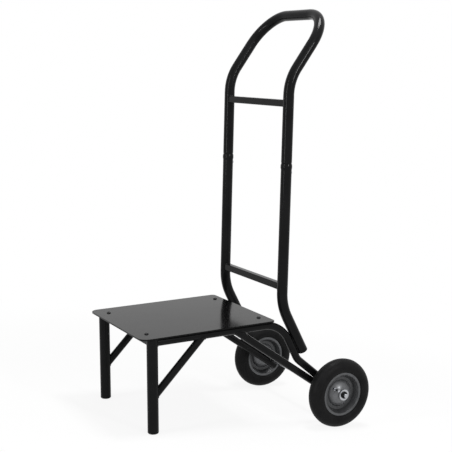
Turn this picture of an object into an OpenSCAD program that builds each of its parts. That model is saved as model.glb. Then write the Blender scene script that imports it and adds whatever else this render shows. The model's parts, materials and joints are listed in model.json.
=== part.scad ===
// Stacking chair trolley: a welded tube chassis with a low deck, a tall loop handle and two wheels.
// Every piece is drawn square to the deck, with the legs' line at y = 0 and the feet at z = 0.
// The whole chassis is then turned and stood on its feet and wheels.

/* [Deck] */
// Width of the deck plate
deck_w = 358; // [345:1:420]
// Length of the deck plate, front to rear
deck_l = 406; // [370:1:450]
// Thickness of the deck plate
deck_t = 4; // [3:0.5:6]
// Height of the deck's top above the feet, along the legs
deck_h = 262; // [240:1:300]
// Radius of the deck's front corners
deck_front_r = 24; // [15:1:60]
// Radius of the deck's rear corners
deck_rear_r = 12; // [8:1:30]
// How far the deck stands out in front of the legs' axes
deck_overhang = 37.5; // [25:0.5:50]
// How far the rear screws lie in front of the deck's rear edge
deck_rear_inset = 24.5; // [16:0.5:30]
// Distance between the deck screws, across the deck
screw_spacing = 254; // [200:1:270]
// Side of the square bars under the deck
deck_bar = 20; // [16:0.5:22]
// Share of the plate's thickness over the screws' heads by which the heads are sunk
screw_sink_share = 0.9; // [0.2:0.05:0.95]

/* [Tubes] */
// Outside diameter of the legs, uprights and handle
post_d = 30; // [27:0.5:34]
// Distance between the two legs, and between the two uprights, on their axes
post_spacing = 323; // [300:1:330]
// Outside diameter of the side rails
rail_d = 22; // [20:0.5:25]
// Outside diameter of the leg braces and axle struts
brace_d = 21; // [18:0.5:24]
// Wall of every tube
tube_wall = 1.5; // [1:0.1:2]
// Side of the square rungs between the uprights
rung = 19; // [16:0.5:22]
// Outside radius of the square tubes' corners
square_corner_r = 2.5; // [2:0.1:4]

/* [Legs] */
// Height at which a leg brace's axis meets its leg's axis
brace_h = 96; // [70:1:120]
// Angle of the leg braces above the floor, square to the legs
brace_angle = 45; // [40:1:55]
// Thickness of a foot cap below its tube
foot_t = 6; // [5:0.5:12]
// Radius of a foot cap's lower edge
foot_edge_r = 4; // [2:0.5:5]

/* [Uprights] */
// How far the uprights' axes stand behind the deck's rear edge, at deck height
upright_setback = 29; // [26:1:40]
// Lean of the uprights from square to the deck
upright_rake = 1.55; // [0:0.05:3]
// Height of the uprights' lower bend above the axle, square to the deck
kick_rise = 265; // [260:1:280]
// Angle of the uprights' lower ends from square to the deck
kick_angle = 27; // [24:0.5:30]
// Length of the uprights' lower ends, from the bend's corner
kick_l = 153; // [140:1:156]
// Radius of the uprights' lower bend
kick_r = 150; // [120:1:170]
// Height of the slip joint that carries the handle
joint_h = 693; // [560:1:740]
// Height of the lower rung
lower_rung_h = 351; // [345:1:420]
// Height of the upper rung
upper_rung_h = 856; // [820:1:865]

/* [Handle] */
// Height of the handle's bend
grip_bend_h = 918; // [910:1:960]
// Angle that the handle bends back
grip_angle = 35; // [25:1:40]
// Radius of the handle's bend
grip_bend_r = 127; // [100:1:140]
// Distance from the bend's corner to the top bar
grip_reach = 223; // [205:1:260]
// Radius of the handle's top corners
grip_corner_r = 101; // [80:1:110]
// Length of the spigot inside each upright
spigot_l = 60; // [40:1:90]

/* [Rails and struts] */
// Radius of the rails' bend behind the deck
rail_bend_r = 90; // [70:1:100]
// Radius of the rails' second bend
tail_bend_r = 45; // [35:1:55]
// Slope of the rails' tails towards the axle
tail_angle = 40.3; // [39:0.1:42]
// How far the tails' axes pass above the axle
tail_rise = 6; // [5:0.5:8]
// Share of the rails' level stretch, from the leg braces to the bend, at which the axle struts start
strut_place_share = 0.51; // [0.4:0.01:0.7]
// How far the struts' axes pass below the axle, square to the deck
strut_drop = 12.4; // [11:0.2:15]

/* [Wheels] */
// Diameter of the tyres
wheel_d = 200; // [190:1:220]
// Radius of the tyres' round section
tyre_section_r = 24; // [22:0.5:25]
// Distance between the wheels' middles
track = 421; // [416:1:440]
// Distance from the uprights, at deck height, to the axle
axle_setback = 166.5; // [160:0.5:172]
// Height of the axle above the feet, along the legs
axle_h = 32; // [28:0.5:36]
// Diameter of the axle rod
axle_d = 12; // [10:0.5:12.5]
// Diameter of the rims over their lips
rim_d = 126; // [120:1:130]
// Thickness of the rims' sheet
rim_t = 2; // [1.5:0.1:2.5]

/* [Hidden] */
$fn = 64;

// Extra depth of every cut
overrun = 2;
// Angle by which an arc of tube laps into the straight tube at each end
lap_angle = 0.2;
// How much slimmer a tube is in its bends
bend_slim = 0.2;
// Gap around a pressed or screwed piece
fit_gap = 0.1;
// Radial gap of a wheel bush on the axle
run_gap = 0.05;
// Gap between a wheel's side faces and what stands beside them
side_gap = 0.3;

// Colours of the finishes
paint = [0.1, 0.1, 0.11];
deck_paint = [0.14, 0.14, 0.145];
moulding = [0.06, 0.06, 0.06];
rubber = [0.08, 0.08, 0.085];
rim_paint = [0.28, 0.29, 0.3];
zinc = [0.75, 0.76, 0.78];

post_r = post_d / 2;
rail_r = rail_d / 2;
brace_r = brace_d / 2;
axle_r = axle_d / 2;
wheel_r = wheel_d / 2;
post_x = post_spacing / 2;
post_bore = post_d - 2 * tube_wall;
deck_under = deck_h - deck_t;
deck_rear_y = deck_l - deck_overhang;
rear_bar_y = deck_rear_y - deck_rear_inset;
rail_z = deck_under - rail_r;
upright_y = deck_rear_y + upright_setback;
axle_y = upright_y + axle_setback;
wheel_x = track / 2;

// The deck screws
screw_d = 6;
screw_head_d = 11;
screw_head_t = (screw_head_d - screw_d) / 2;
screw_sink = screw_sink_share * (deck_t - screw_head_t);
screw_l = 16;

// Share of the rails' radius by which the bars' ends stop short of the rails' axes
bar_reach_share = 0.75;

// Where a leg brace meets its rail
brace_top_y = (rail_z - brace_h) / tan(brace_angle);

// The uprights' lower bend, in the y-z plane
kick_z = axle_h + kick_rise;
kick = [upright_y + (kick_z - deck_h) * tan(upright_rake), kick_z];
kick_dir = [sin(kick_angle), -cos(kick_angle)];
kick_front = [-cos(kick_angle), -sin(kick_angle)];
kick_bend = kick_angle + upright_rake;
kick_tangent = kick_r * tan(kick_bend / 2);
kick_end = kick + kick_l * kick_dir;

// The side rails: level under the deck, down the front of the uprights' ends, then along the tails
function cross2(a, b) = a[0] * b[1] - a[1] * b[0];
axle = [axle_y, axle_h];
rail_slope_start = kick + (post_r + rail_r) * kick_front;
tail_dir = [cos(tail_angle), -sin(tail_angle)];
tail_line = axle + tail_rise * [sin(tail_angle), cos(tail_angle)];
rail_fall = 90 - kick_angle;
rail_lift = rail_fall - tail_angle;
rail_corner_t = (rail_slope_start[1] - rail_z) / cos(kick_angle);
tail_corner_t = cross2(tail_line - rail_slope_start, tail_dir) / cross2(kick_dir, tail_dir);
rail_corner_y = rail_slope_start[0] + rail_corner_t * kick_dir[0];
tail_corner = rail_slope_start + tail_corner_t * kick_dir;
rail_tangent = rail_bend_r * tan(rail_fall / 2);
tail_tangent = tail_bend_r * tan(rail_lift / 2);
rail_level_l = rail_corner_y - rail_tangent;
// How far the tails and struts run past the axle
tail_past = 16;
tail_l = (axle - tail_corner) * tail_dir + tail_past;

// The axle struts lie under the rails, and run from their level stretch to their tails
strut_top = [brace_top_y + strut_place_share * (rail_level_l - brace_top_y), rail_z];
strut_low = [axle_y, axle_h - strut_drop];
strut_run = norm(strut_top - strut_low);
strut_dir = (strut_top - strut_low) / strut_run;
strut_angle = atan2(strut_dir[1], -strut_dir[0]);
strut_foot = strut_low - tail_past * strut_dir;
strut_l = strut_run + tail_past;

// The slip joint between the handle and the uprights
slip_gap = 0.15;
spigot_d = post_bore - 2 * slip_gap;
// Share of the tube's wall by which the handle is drawn in at its neck
neck_share = 0.7;
neck_d = post_d - 2 * neck_share * tube_wall;
neck_l = 4;
flare_step = 1;
flare_d = post_d + 2 * flare_step;
flare_l = 16;
flare_taper = 5;
joint_screw_drop = 24;
joint_screw_d = 5;
joint_screw_head_d = 9;
joint_screw_head_t = 2.6;
joint_screw_l = 9;
joint = [upright_y + (joint_h - deck_h) * tan(upright_rake), joint_h];
upright_l = (joint_h - kick[1]) / cos(upright_rake);
grip_bend_l = (grip_bend_h - joint_h) / cos(upright_rake);
grip_tangent = grip_bend_r * tan(grip_angle / 2);

// Caps and plugs of the tube ends
cap_t = 4;
cap_edge_r = 2.5;
plug_l = 18;
rail_bore = rail_d - 2 * tube_wall;
brace_bore = brace_d - 2 * tube_wall;

// The wheels, along their own axes from the middle
hub_d = 28;
hub_l = 42;
hub_bore = 20;
bush_l = 14;
bush_flange_d = 25;
bush_flange_t = 1.5;
washer_d = 32;
washer_t = 2;
spacer_d = 18;
end_cap_d = 20;
end_cap_t = 4;
end_cap_edge_r = 1.5;
axle_tip = 12;
axle_chamfer = 1.2;
hub_end = hub_l / 2;
washer_in = wheel_x + hub_end + bush_flange_t + side_gap;
axle_half = washer_in + washer_t + axle_tip;

// The rims' pressed section: a lip, a cone down to a flat valley, and a dome up to the hub
rim_r = rim_d / 2;
rim_lip_a = 17.5;
rim_lip_w = 5;
rim_cone_w = 10;
rim_valley_w = 8;
rim_seat_r = rim_r - rim_lip_w;
rim_valley_r = rim_seat_r - rim_cone_w;
dome_r = rim_valley_r - rim_valley_w;
dome_top_a = 20;
hub_seat_r = hub_d / 2 + fit_gap;
dome_rise = dome_top_a - rim_t;
dome_c = (pow(hub_seat_r, 2) + pow(dome_top_a, 2) - pow(dome_r, 2) - pow(rim_t, 2)) / (2 * dome_rise);
dome_sphere_r = norm([dome_r, rim_t - dome_c]);

// The tyres' valves stand out through the outer rims' domes
valve_r = 32;
valve_turn = 234;
valve_d = 5;
valve_nut_d = 9;
valve_nut_t = 3;
valve_cap_d = 7;
valve_cap_l = 9;
valve_l = 24;

// The tyres' casing and its beads, between the rims' lips
tyre_wall = 6;
bead_gap = 0.2;
bead_w = 2 * (rim_lip_a - rim_t - bead_gap);

// How the chassis stands: its feet's front edges and its tyres meet the floor
foot_reach = axle_y + post_r - foot_edge_r;
foot_rise = axle_h - foot_edge_r;
stand_drop = wheel_r - foot_edge_r;
lean = asin(stand_drop / norm([foot_reach, foot_rise])) - atan2(foot_rise, foot_reach);
floor_z = foot_edge_r * cos(lean) - foot_edge_r - (post_r - foot_edge_r) * sin(lean);
front_y = -deck_overhang * cos(lean) - deck_h * sin(lean);
rear_y = axle_y * cos(lean) - axle_h * sin(lean) + wheel_r;
mid_y = (front_y + rear_y) / 2;

module standing() {
    translate([0, -mid_y, -floor_z]) rotate([lean, 0, 0]) children();
}

// An arc of round rod that starts along +Z and turns towards +Y, and laps into what it joins.
// Bending draws the rod a little slimmer.
module bend(d, r, angle) {
    translate([0, r, 0]) rotate([90, 0, -90]) rotate([0, 0, -lap_angle])
        rotate_extrude(angle = angle + 2 * lap_angle) translate([r, 0]) circle(d = d - bend_slim);
}

// A bent rod from the origin along +Z; each step is a length, then a bend radius, angle and turn
module rod(d, steps, i = 0) {
    step = steps[i];
    cylinder(d = d, h = step[0]);
    if (i + 1 < len(steps))
        translate([0, 0, step[0]]) rotate([0, 0, step[3]]) {
            bend(d, step[1], step[2]);
            translate([0, step[1], 0]) rotate([-step[2], 0, 0]) translate([0, -step[1], 0])
                rod(d, steps, i + 1);
        }
}

// The same steps with both open ends lengthened by the overrun
function opened(steps) = [
    for (i = [0 : len(steps) - 1])
        let (ends = (i == 0 ? 1 : 0) + (i == len(steps) - 1 ? 1 : 0))
        [steps[i][0] + ends * overrun, steps[i][1], steps[i][2], steps[i][3]]
];

module tube(d, steps) {
    difference() {
        rod(d, steps);
        translate([0, 0, -overrun]) rod(d - 2 * tube_wall, opened(steps));
    }
}

// A square with round corners, centred
module round_square(side, r) {
    square([side, side - 2 * r], center = true);
    square([side - 2 * r, side], center = true);
    for (x = [-1, 1], y = [-1, 1])
        translate([x, y] * (side / 2 - r)) circle(r = r);
}

// A square tube along X, centred
module square_tube(side, length) {
    rotate([90, 0, 90]) linear_extrude(length, center = true) difference() {
        round_square(side, square_corner_r);
        round_square(side - 2 * tube_wall, square_corner_r - tube_wall / 2);
    }
}

// A moulded plug: a round-edged cap below z = 0 and a stem that fills the tube's end
module plug(d, bore, t, edge_r) {
    rotate_extrude() {
        translate([0, -t]) square([d / 2 - edge_r, t]);
        translate([0, edge_r - t]) square([d / 2, t - edge_r]);
        intersection() {
            translate([d / 2 - edge_r, edge_r - t]) circle(r = edge_r);
            translate([0, -t]) square([d / 2, t]);
        }
    }
    cylinder(d = bore - 2 * fit_gap, h = plug_l);
}

module at_sides() {
    children();
    mirror([1, 0, 0]) children();
}

// Solids of the posts and rails, used to cut the pieces that are welded to them
module leg_rod() {
    translate([post_x, 0, 0]) cylinder(d = post_d, h = deck_under);
}

// A side rail's steps, from its leg to its tail, in the rail's own frame
function rail_steps(extra) = [
    [rail_level_l, rail_bend_r, rail_fall, 0],
    [tail_corner_t - rail_corner_t - rail_tangent - tail_tangent, tail_bend_r, rail_lift, 180],
    [tail_l - tail_tangent + extra]
];

module at_rail() {
    translate([post_x, 0, rail_z]) rotate([-90, 0, 0]) children();
}

module rail_rod() {
    at_rail() rod(rail_d, rail_steps(cap_t + overrun));
}

module upright_rods() {
    at_sides() translate([post_x, joint[0], joint[1]]) rotate([-upright_rake, 0, 0])
        translate([0, 0, kick_tangent - upright_l])
            cylinder(d = post_d, h = upright_l - kick_tangent + grip_bend_l - grip_tangent);
}

module axle_rod_solid(d) {
    translate([-axle_half, axle_y, axle_h]) rotate([0, 90, 0]) cylinder(d = d, h = 2 * axle_half);
}

// The deck's four screws, each with its head up at the deck's top
module at_deck_screws() {
    for (x = [-1, 1], y = [0, rear_bar_y])
        translate([x * screw_spacing / 2, y, deck_h]) children();
}

module countersunk(d, head_d, sink, length) {
    head_t = (head_d - d) / 2;
    translate([0, 0, -sink - head_t]) cylinder(d1 = d, d2 = head_d, h = head_t);
    translate([0, 0, -sink - length]) cylinder(d = d, h = length - head_t);
}

module deck_outline() {
    half_w = deck_w / 2;
    front = -deck_overhang;
    translate([-half_w, front + deck_front_r]) square([deck_w, deck_l - deck_front_r - deck_rear_r]);
    translate([deck_front_r - half_w, front]) square([deck_w - 2 * deck_front_r, deck_front_r]);
    translate([deck_rear_r - half_w, deck_rear_y - deck_rear_r])
        square([deck_w - 2 * deck_rear_r, deck_rear_r]);
    for (side = [-1, 1]) {
        translate([side * (half_w - deck_front_r), front + deck_front_r]) circle(r = deck_front_r);
        translate([side * (half_w - deck_rear_r), deck_rear_y - deck_rear_r]) circle(r = deck_rear_r);
    }
}

module deck_plate() {
    color(deck_paint) standing() difference() {
        translate([0, 0, deck_under]) linear_extrude(deck_t) deck_outline();
        at_deck_screws() {
            countersunk(screw_d + 2 * fit_gap, screw_head_d + 2 * fit_gap, screw_sink, screw_l);
            translate([0, 0, -screw_sink])
                cylinder(d = screw_head_d + 2 * fit_gap, h = screw_sink + overrun);
        }
    }
}

module deck_screws() {
    color(moulding) standing() at_deck_screws() countersunk(screw_d, screw_head_d, screw_sink, screw_l);
}

module deck_bar_at(y) {
    length = post_spacing - 2 * bar_reach_share * rail_r;
    difference() {
        translate([0, y, deck_under - deck_bar / 2]) square_tube(deck_bar, length);
        at_sides() leg_rod();
        at_sides() rail_rod();
        at_deck_screws() translate([0, 0, -deck_t - deck_bar / 2])
            cylinder(d = screw_d + 2 * fit_gap, h = deck_bar);
    }
}

module front_deck_bar() {
    color(paint) standing() deck_bar_at(0);
}

module rear_deck_bar() {
    color(paint) standing() deck_bar_at(rear_bar_y);
}

module leg() {
    translate([post_x, 0, foot_t]) tube(post_d, [[deck_under - foot_t]]);
}

module left_leg() {
    color(paint) standing() mirror([1, 0, 0]) leg();
}

module right_leg() {
    color(paint) standing() leg();
}

module foot_caps() {
    color(moulding) standing() at_sides()
        translate([post_x, 0, foot_t]) plug(post_d, post_bore, foot_t, foot_edge_r);
}

module leg_brace() {
    difference() {
        translate([post_x, 0, brace_h]) rotate([brace_angle - 90, 0, 0])
            tube(brace_d, [[norm([brace_top_y, rail_z - brace_h])]]);
        leg_rod();
        rail_rod();
    }
}

module left_leg_brace() {
    color(paint) standing() mirror([1, 0, 0]) leg_brace();
}

module right_leg_brace() {
    color(paint) standing() leg_brace();
}

module side_rail() {
    difference() {
        at_rail() tube(rail_d, rail_steps(0));
        leg_rod();
        axle_rod_solid(axle_d + 2 * fit_gap);
    }
}

module left_side_rail() {
    color(paint) standing() mirror([1, 0, 0]) side_rail();
}

module right_side_rail() {
    color(paint) standing() side_rail();
}

module rail_end_caps() {
    tail_end = tail_corner + tail_l * tail_dir;
    color(moulding) standing() at_sides() difference() {
        translate([post_x, tail_end[0], tail_end[1]]) rotate([90 - tail_angle, 0, 0])
            plug(rail_d, rail_bore, cap_t, cap_edge_r);
        axle_rod_solid(axle_d + 2 * fit_gap);
    }
}

// The right strut's lower end, with +Z up along its axis
module at_strut() {
    translate([post_x, strut_foot[0], strut_foot[1]]) rotate([90 - strut_angle, 0, 0]) children();
}

module axle_strut() {
    difference() {
        at_strut() tube(brace_d, [[strut_l]]);
        rail_rod();
        axle_rod_solid(axle_d + 2 * fit_gap);
    }
}

module left_axle_strut() {
    color(paint) standing() mirror([1, 0, 0]) axle_strut();
}

module right_axle_strut() {
    color(paint) standing() axle_strut();
}

module strut_end_caps() {
    color(moulding) standing() at_sides() difference() {
        at_strut() plug(brace_d, brace_bore, cap_t, cap_edge_r);
        rail_rod();
        axle_rod_solid(axle_d + 2 * fit_gap);
    }
}

// A place on the right upright's axis, at a distance below the slip joint, with +Z up along the axis
module below_joint(drop) {
    translate([post_x, joint[0], joint[1]]) rotate([-upright_rake, 0, 0])
        translate([0, 0, -drop]) children();
}

module joint_screw_hole() {
    below_joint(joint_screw_drop) rotate([-90, 0, 0])
        cylinder(d = joint_screw_d + 2 * fit_gap, h = post_d);
}

// The right upright, downwards from its slip joint
module upright() {
    difference() {
        below_joint(0) rotate([180, 0, 0]) difference() {
            union() {
                rotate_extrude() polygon([
                    [0, 0], [post_r, 0], [flare_d / 2, flare_taper], [flare_d / 2, flare_l - flare_taper],
                    [post_r, flare_l], [0, flare_l]
                ]);
                translate([0, 0, flare_l]) rod(post_d, upright_steps(-flare_l));
            }
            translate([0, 0, -overrun]) rod(post_bore, opened(upright_steps(0)));
        }
        joint_screw_hole();
    }
}

function upright_steps(extra) = [
    [upright_l - kick_tangent + extra, kick_r, kick_bend, 180],
    [kick_l - kick_tangent]
];

module left_upright() {
    color(paint) standing() mirror([1, 0, 0]) upright();
}

module right_upright() {
    color(paint) standing() upright();
}

module upright_end_caps() {
    color(moulding) standing() at_sides()
        translate([post_x, kick_end[0], kick_end[1]]) rotate([kick_angle, 0, 0])
            plug(post_d, post_bore, cap_t, cap_edge_r);
}

// A rung between the uprights, at a height on their axes
module rung_at(h) {
    difference() {
        translate([0, upright_y + (h - deck_h) * tan(upright_rake), h]) rotate([-upright_rake, 0, 0])
            square_tube(rung, post_spacing);
        upright_rods();
    }
}

module lower_rung() {
    color(paint) standing() rung_at(lower_rung_h);
}

module upper_rung() {
    color(paint) standing() rung_at(upper_rung_h);
}

// The right half of the handle's rod, from above its neck to the middle of the top bar
module handle_half(d, extra) {
    below_joint(-neck_l) rod(d, [
        [grip_bend_l - grip_tangent - neck_l, grip_bend_r, grip_angle, 0],
        [grip_reach - grip_tangent - grip_corner_r, grip_corner_r, 90, 90],
        [post_x - grip_corner_r + extra]
    ]);
}

module handle_tube() {
    color(paint) standing() difference() {
        at_sides() {
            handle_half(post_d, overrun);
            below_joint(0) cylinder(d1 = neck_d, d2 = post_d, h = neck_l);
            below_joint(spigot_l) cylinder(d = spigot_d, h = spigot_l);
        }
        at_sides() {
            handle_half(post_bore, overrun);
            below_joint(spigot_l + overrun)
                cylinder(d = spigot_d - 2 * tube_wall, h = spigot_l + neck_l + 2 * overrun);
            joint_screw_hole();
        }
    }
}

module joint_screws() {
    color(zinc) standing() at_sides() below_joint(joint_screw_drop) rotate([-90, 0, 0]) {
        translate([0, 0, post_r - joint_screw_l + joint_screw_head_t])
            cylinder(d = joint_screw_d, h = joint_screw_l - joint_screw_head_t);
        translate([0, 0, post_r]) intersection() {
            cylinder(d = joint_screw_head_d, h = joint_screw_head_t);
            translate([0, 0, joint_screw_head_t - joint_screw_head_d])
                sphere(r = joint_screw_head_d);
        }
    }
}

module axle_rod() {
    color(zinc) standing() translate([0, axle_y, axle_h]) rotate([0, 90, 0]) {
        cylinder(d = axle_d, h = 2 * (axle_half - axle_chamfer), center = true);
        for (end = [0, 1])
            mirror([0, 0, end]) translate([0, 0, axle_half - axle_chamfer])
                cylinder(d1 = axle_d, d2 = axle_d - 2 * axle_chamfer, h = axle_chamfer);
    }
}

// A ring on the axle, from a distance along X
module axle_ring(x, d, t) {
    at_sides() translate([x, axle_y, axle_h]) rotate([0, 90, 0]) difference() {
        cylinder(d = d, h = t);
        translate([0, 0, -overrun]) cylinder(d = axle_d + 2 * fit_gap, h = t + 2 * overrun);
    }
}

module axle_spacers() {
    start = post_x + rail_r + side_gap;
    color(zinc) standing() axle_ring(start, spacer_d, wheel_x - hub_end - bush_flange_t - side_gap - start);
}

module axle_washers() {
    color(zinc) standing() axle_ring(washer_in, washer_d, washer_t);
}

// Push-on retaining caps, round at their outer edges, with the axle's ends standing out through them
module axle_end_caps() {
    edge = [end_cap_d / 2 - end_cap_edge_r, end_cap_t - end_cap_edge_r];
    start = washer_in + washer_t;
    color(moulding) standing() at_sides() translate([start, axle_y, axle_h]) rotate([0, 90, 0])
        difference() {
            rotate_extrude() {
                square([edge[0], end_cap_t]);
                square([end_cap_d / 2, edge[1]]);
                intersection() {
                    translate(edge) circle(r = end_cap_edge_r);
                    square([end_cap_d, end_cap_t]);
                }
            }
            translate([0, 0, -overrun]) cylinder(d = axle_d + 2 * fit_gap, h = end_cap_t + 2 * overrun);
        }
}

// The right wheel's own frame: its middle, with +Z out along the axle
module at_wheel() {
    standing() translate([wheel_x, axle_y, axle_h]) rotate([0, 90, 0]) children();
}

module at_left_wheel() {
    standing() mirror([1, 0, 0]) translate([wheel_x, axle_y, axle_h]) rotate([0, 90, 0]) children();
}

// A tyre's casing, open towards the rim between its beads
module tyre() {
    section_x = wheel_r - tyre_section_r;
    lip_r = rim_r + bead_gap;
    gap_w = bead_w - 2 * tyre_wall;
    rotate_extrude() difference() {
        union() {
            intersection() {
                translate([section_x, 0]) circle(r = tyre_section_r);
                translate([lip_r, -tyre_section_r]) square([wheel_r, 2 * tyre_section_r]);
            }
            translate([rim_seat_r + bead_gap, -bead_w / 2]) square([section_x - rim_seat_r, bead_w]);
        }
        translate([section_x, 0]) circle(r = tyre_section_r - tyre_wall);
        translate([rim_seat_r - overrun, -gap_w / 2]) square([section_x - rim_seat_r, gap_w]);
    }
}

module left_tyre() {
    color(rubber) at_left_wheel() tyre();
}

module right_tyre() {
    color(rubber) at_wheel() tyre();
}

// One pressed half of a rim, from the wheel's middle outwards
module rim_half() {
    rotate_extrude() {
        intersection() {
            translate([0, dome_c]) difference() {
                circle(r = dome_sphere_r);
                circle(r = dome_sphere_r - rim_t);
            }
            translate([hub_seat_r, 0]) square([dome_r - hub_seat_r, rim_lip_a + rim_t]);
        }
        polygon([
            [dome_r, 0], [rim_valley_r + rim_t, 0],
            [rim_seat_r, rim_lip_a - rim_t], [rim_r, rim_lip_a - rim_t],
            [rim_r, rim_lip_a], [rim_seat_r - rim_t, rim_lip_a],
            [rim_valley_r, rim_t], [dome_r, rim_t]
        ]);
    }
}

// The right wheel's valve place, at the foot of its stem
module at_valve() {
    rotate([0, 0, valve_turn]) translate([valve_r, 0, 0]) children();
}

module outer_rim() {
    difference() {
        rim_half();
        at_valve() cylinder(d = valve_d + 2 * fit_gap, h = valve_l);
    }
}

// A valve stem with its nut and screw cap
module tyre_valve() {
    top_a = dome_c + sqrt(pow(dome_sphere_r, 2) - pow(valve_r - valve_nut_d / 2, 2));
    at_valve() {
        translate([0, 0, rim_t]) cylinder(d = valve_d, h = valve_l);
        translate([0, 0, top_a]) cylinder(d = valve_nut_d, h = valve_nut_t, $fn = 6);
        translate([0, 0, rim_t + valve_l]) cylinder(d = valve_cap_d, h = valve_cap_l);
    }
}

module left_outer_rim() {
    color(rim_paint) at_left_wheel() outer_rim();
}

module right_outer_rim() {
    color(rim_paint) at_wheel() outer_rim();
}

module left_inner_rim() {
    color(rim_paint) at_left_wheel() mirror([0, 0, 1]) rim_half();
}

module right_inner_rim() {
    color(rim_paint) at_wheel() mirror([0, 0, 1]) rim_half();
}

module hub() {
    difference() {
        cylinder(d = hub_d, h = hub_l, center = true);
        cylinder(d = hub_bore, h = hub_l + overrun, center = true);
    }
}

module left_hub() {
    color(zinc) at_left_wheel() hub();
}

module right_hub() {
    color(zinc) at_wheel() hub();
}

// Two flanged bushes, one in each end of a hub
module hub_bushes() {
    for (end = [0, 1]) mirror([0, 0, end]) difference() {
        union() {
            translate([0, 0, hub_end - bush_l]) cylinder(d = hub_bore - 2 * fit_gap, h = bush_l);
            translate([0, 0, hub_end]) cylinder(d = bush_flange_d, h = bush_flange_t);
        }
        cylinder(d = axle_d + 2 * run_gap, h = hub_l);
    }
}

module left_hub_bushes() {
    color(moulding) at_left_wheel() hub_bushes();
}

module right_hub_bushes() {
    color(moulding) at_wheel() hub_bushes();
}

module left_tyre_valve() {
    color(zinc) at_left_wheel() tyre_valve();
}

module right_tyre_valve() {
    color(zinc) at_wheel() tyre_valve();
}

deck_plate();
deck_screws();
front_deck_bar();
rear_deck_bar();
left_leg();
right_leg();
foot_caps();
left_leg_brace();
right_leg_brace();
left_side_rail();
right_side_rail();
rail_end_caps();
left_axle_strut();
right_axle_strut();
strut_end_caps();
left_upright();
right_upright();
upright_end_caps();
lower_rung();
handle_tube();
upper_rung();
joint_screws();
axle_rod();
axle_spacers();
axle_washers();
axle_end_caps();
left_tyre();
right_tyre();
left_outer_rim();
right_outer_rim();
left_inner_rim();
right_inner_rim();
left_hub();
right_hub();
left_hub_bushes();
right_hub_bushes();
left_tyre_valve();
right_tyre_valve();
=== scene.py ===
"""Dresses the stacking chair trolley's frame: paint, rubber, welds, softened edges and a studio stage."""

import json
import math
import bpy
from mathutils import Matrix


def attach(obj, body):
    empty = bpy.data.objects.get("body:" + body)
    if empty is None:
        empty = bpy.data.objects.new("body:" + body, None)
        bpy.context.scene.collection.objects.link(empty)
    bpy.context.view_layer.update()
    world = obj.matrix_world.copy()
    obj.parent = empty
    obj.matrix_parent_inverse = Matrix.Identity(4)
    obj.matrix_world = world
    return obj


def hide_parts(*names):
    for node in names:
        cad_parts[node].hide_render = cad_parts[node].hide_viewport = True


bl_info = {
    "name": "Stacking Chair Trolley",
    "version": (1, 0, 0),
    "blender": (4, 5, 0),
    "location": "3D View > Sidebar > Chair Trolley",
    "description": "Finishes the trolley's tubes, deck and wheels, and sets up a studio stage",
    "category": "Object",
}

import bmesh
import bpy
from bpy.props import FloatProperty, FloatVectorProperty, PointerProperty
from mathutils import Matrix, Vector

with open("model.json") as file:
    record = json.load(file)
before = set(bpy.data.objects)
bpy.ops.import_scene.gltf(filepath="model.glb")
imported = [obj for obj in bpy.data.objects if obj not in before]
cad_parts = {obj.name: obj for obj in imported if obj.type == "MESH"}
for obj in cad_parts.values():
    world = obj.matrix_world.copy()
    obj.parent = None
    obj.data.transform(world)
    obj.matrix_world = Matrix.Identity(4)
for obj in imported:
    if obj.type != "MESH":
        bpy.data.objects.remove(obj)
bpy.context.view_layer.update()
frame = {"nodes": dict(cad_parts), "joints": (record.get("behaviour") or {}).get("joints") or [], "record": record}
NODES = frame["nodes"]
RECORD = frame["record"]
SLOT_OF = {part["node"]: part["material_slot"] for part in RECORD["subparts"]}
SIDES = {"left": -1.0, "right": 1.0}

# The deck's mount gives the slope of the chassis, and the wheel joint gives the axle.
DECK_MOUNT = next(m for m in RECORD["mounts"] if m["name"] == "deck_top")
DECK_SLOPE = math.atan2(-DECK_MOUNT["axis"][1], DECK_MOUNT["axis"][2])
AXLE = Vector(next(j for j in frame["joints"] if j["name"] == "right_wheel_spin")["pos_m"])

# Distances within which points are merged: in a copy of a CAD node, in a spun piece and in a screw.
CAD_MERGE = 2e-6
MERGE = 1e-6
SCREW_MERGE = 1e-7

# Deck plate: angle under which its faces count as one, angle over which an edge is rounded, and steps in
# the rounding.
FLAT_LIMIT = math.radians(0.5)
DECK_CREASE = math.radians(50.0)
EDGE_STEPS = 3

# How strongly large faces set the shading beside rounded edges.
FACE_WEIGHT = 100

# Weld bead around a tube's end: steps around the tube, sides of the bead, its ripples (height as a share of
# the bead, number and start) and how far it follows a square tube's corners.
WELD_STEPS = 72
BEAD_SIDES = 8
BEAD_RIPPLES = ((0.16, 18.0, 0.0), (0.07, 5.0, 1.0))
WELD_CORNER = 1.3

# Weld bead along a seam: its sides, its ripples' length and height, and the power that tapers its ends.
SEAM_SIDES = 10
SEAM_RIPPLE = 0.0022
SEAM_SWELL = 0.14
SEAM_TAPER = 8

# Steps around a screw, the flat around its socket, the sockets' width across flats and depth, and the
# screws' profiles: radius and height.
SCREW_STEPS = 48
SOCKET_RIM = 0.0002
DECK_SOCKET = (0.004, 0.002)
JOINT_SOCKET = (0.003, 0.0015)
DECK_SCREW = ((0.003, -0.016), (0.003, 0.0), (0.0056, 0.0), (0.0058, 0.0003), (0.0057, 0.0012),
              (0.0052, 0.0021), (0.0044, 0.0028), (0.0034, 0.0032), (0.0027, 0.0033))
JOINT_SCREW = ((0.0025, -0.0064), (0.0025, 0.0), (0.0044, 0.0), (0.0045, 0.0002), (0.0045, 0.0012),
               (0.0042, 0.0016), (0.0033, 0.002), (0.0022, 0.0023))

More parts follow.
